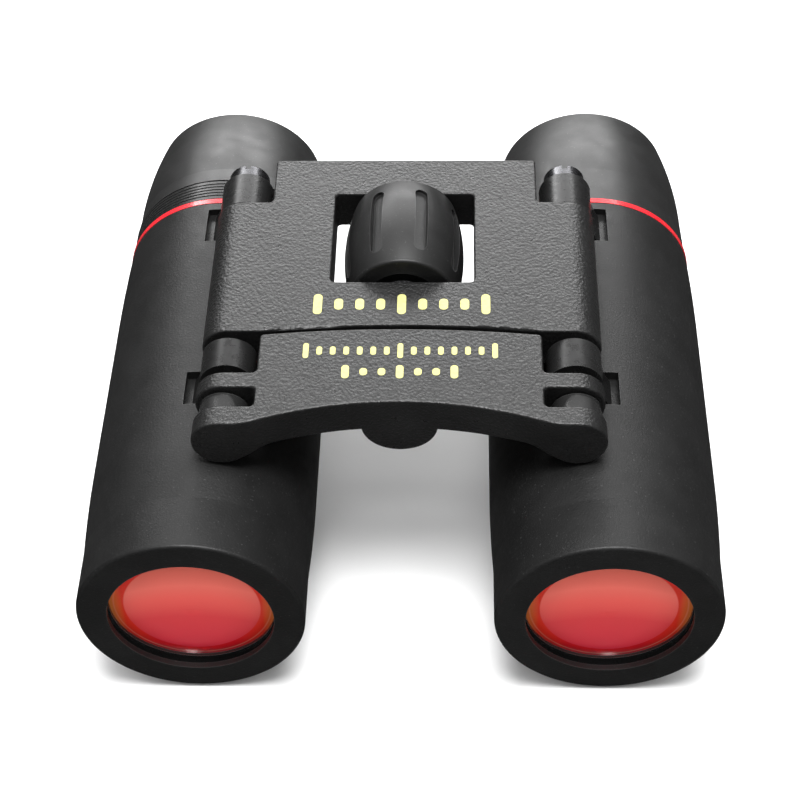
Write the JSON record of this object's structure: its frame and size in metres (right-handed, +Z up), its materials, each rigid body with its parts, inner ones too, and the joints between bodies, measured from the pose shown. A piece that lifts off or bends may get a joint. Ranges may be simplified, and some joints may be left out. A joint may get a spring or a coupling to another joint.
{
  "type": "binoculars",
  "caption": "Folding compact roof-prism binoculars: two rubber-covered barrels hung from a hinged bridge with a central focus wheel.",
  "frame": {"origin": "on the resting surface, under the middle of the unfolded binoculars", "axes": "+X to the left barrel (image right), +Y along the optical axes towards the eyepieces, +Z up"},
  "size_m": [0.094, 0.0974, 0.0466],
  "materials": {
    "armour_rubber": "fine matt rubber",
    "eyecup_rubber": "smooth matt rubber",
    "bridge_polymer": "black plastic with a fine moulded grain",
    "black_polymer": "satin black plastic",
    "inner_polymer": "matt black plastic",
    "wheel_rubber": "satin black rubber",
    "red_enamel": "glossy red",
    "coated_glass": "ruby mirror coating",
    "clear_glass": "polished glass",
    "black_metal": "black anodised",
    "dark_steel": "blackened steel",
    "spring_steel": "bright spring steel",
    "brass_nut": "turned brass",
    "print_yellow": "pale yellow screen print"
  },
  "bodies": {
    "bridge": {"main_bridge": "bridge_polymer", "hinge_shaft_right": "dark_steel", "hinge_shaft_left": "dark_steel", "hinge_washer_right": "dark_steel", "hinge_washer_left": "dark_steel", "thrust_washer_front": "spring_steel", "thrust_washer_rear": "spring_steel"},
    "front_bridge": {"front_bridge": "bridge_polymer", "focus_nut": "brass_nut"},
    "focus_wheel": {"focus_wheel": "wheel_rubber", "focus_screw": "dark_steel"},
    "right_barrel": {"armour_right": "armour_rubber", "barrel_tube_right": "black_polymer", "accent_ring_right": "red_enamel", "prism_cage_right": "inner_polymer", "half_penta_prism_right": "clear_glass", "roof_prism_right": "clear_glass", "prism_clip_right": "spring_steel", "eyepiece_housing_right": "black_polymer", "eyecup_right": "eyecup_rubber"},
    "right_objective": {"objective_cell_right": "black_polymer", "objective_crown_lens_right": "coated_glass", "objective_flint_lens_right": "clear_glass", "objective_retainer_right": "black_metal"},
    "left_barrel": {"armour_left": "armour_rubber", "barrel_tube_left": "black_polymer", "accent_ring_left": "red_enamel", "prism_cage_left": "inner_polymer", "half_penta_prism_left": "clear_glass", "roof_prism_left": "clear_glass", "prism_clip_left": "spring_steel", "eyepiece_housing_left": "black_polymer", "eyecup_left": "eyecup_rubber", "eyepiece_cell_left": "black_polymer", "field_stop_left": "black_metal", "field_lens_left": "clear_glass", "lens_spacer_left": "black_metal", "eye_lens_left": "clear_glass", "eyepiece_retainer_left": "black_metal"},
    "left_objective": {"objective_cell_left": "black_polymer", "objective_crown_lens_left": "coated_glass", "objective_flint_lens_left": "clear_glass", "objective_retainer_left": "black_metal"},
    "diopter_ring": {"diopter_ring_right": "black_polymer"},
    "right_eyepiece": {"eyepiece_cell_right": "black_polymer", "field_stop_right": "black_metal", "field_lens_right": "clear_glass", "lens_spacer_right": "black_metal", "eye_lens_right": "clear_glass", "eyepiece_retainer_right": "black_metal"}
  },
  "joints": [
    {"name": "right_fold", "type": "hinge", "parent": "bridge", "child": "right_barrel", "pos_m": [-0.0252, 0, 0.0374], "axis": [0, -1, 0], "range_deg": [-8, 32]},
    {"name": "left_fold", "type": "hinge", "parent": "bridge", "child": "left_barrel", "pos_m": [0.0252, 0, 0.0374], "axis": [0, 1, 0], "range_deg": [-8, 32]},
    {"name": "focus", "type": "hinge", "parent": "bridge", "child": "focus_wheel", "pos_m": [0, 0, 0.0374], "axis": [0, 1, 0], "range_deg": [0, 288]},
    {"name": "front_bridge_slide", "type": "slide", "parent": "bridge", "child": "front_bridge", "axis": [0, -1, 0], "range_m": [0, 0.001]},
    {"name": "right_objective_slide", "type": "slide", "parent": "right_barrel", "child": "right_objective", "axis": [0, -1, 0], "range_m": [0, 0.001]},
    {"name": "left_objective_slide", "type": "slide", "parent": "left_barrel", "child": "left_objective", "axis": [0, -1, 0], "range_m": [0, 0.001]},
    {"name": "diopter", "type": "hinge", "parent": "right_barrel", "child": "diopter_ring", "pos_m": [-0.03004, 0, 0.0169], "axis": [0, 1, 0], "range_deg": [-45, 45]},
    {"name": "right_eyepiece_slide", "type": "slide", "parent": "right_barrel", "child": "right_eyepiece", "axis": [0, 1, 0], "range_m": [-0.0006, 0.0006]}
  ],
  "couplings": [
    {"joint": "front_bridge_slide", "follows": "focus", "m_per_rad": 0.00019894},
    {"joint": "right_objective_slide", "follows": "focus", "m_per_rad": 0.00019894},
    {"joint": "left_objective_slide", "follows": "focus", "m_per_rad": 0.00019894},
    {"joint": "right_eyepiece_slide", "follows": "diopter", "m_per_rad": 0.00076394}
  ]
}
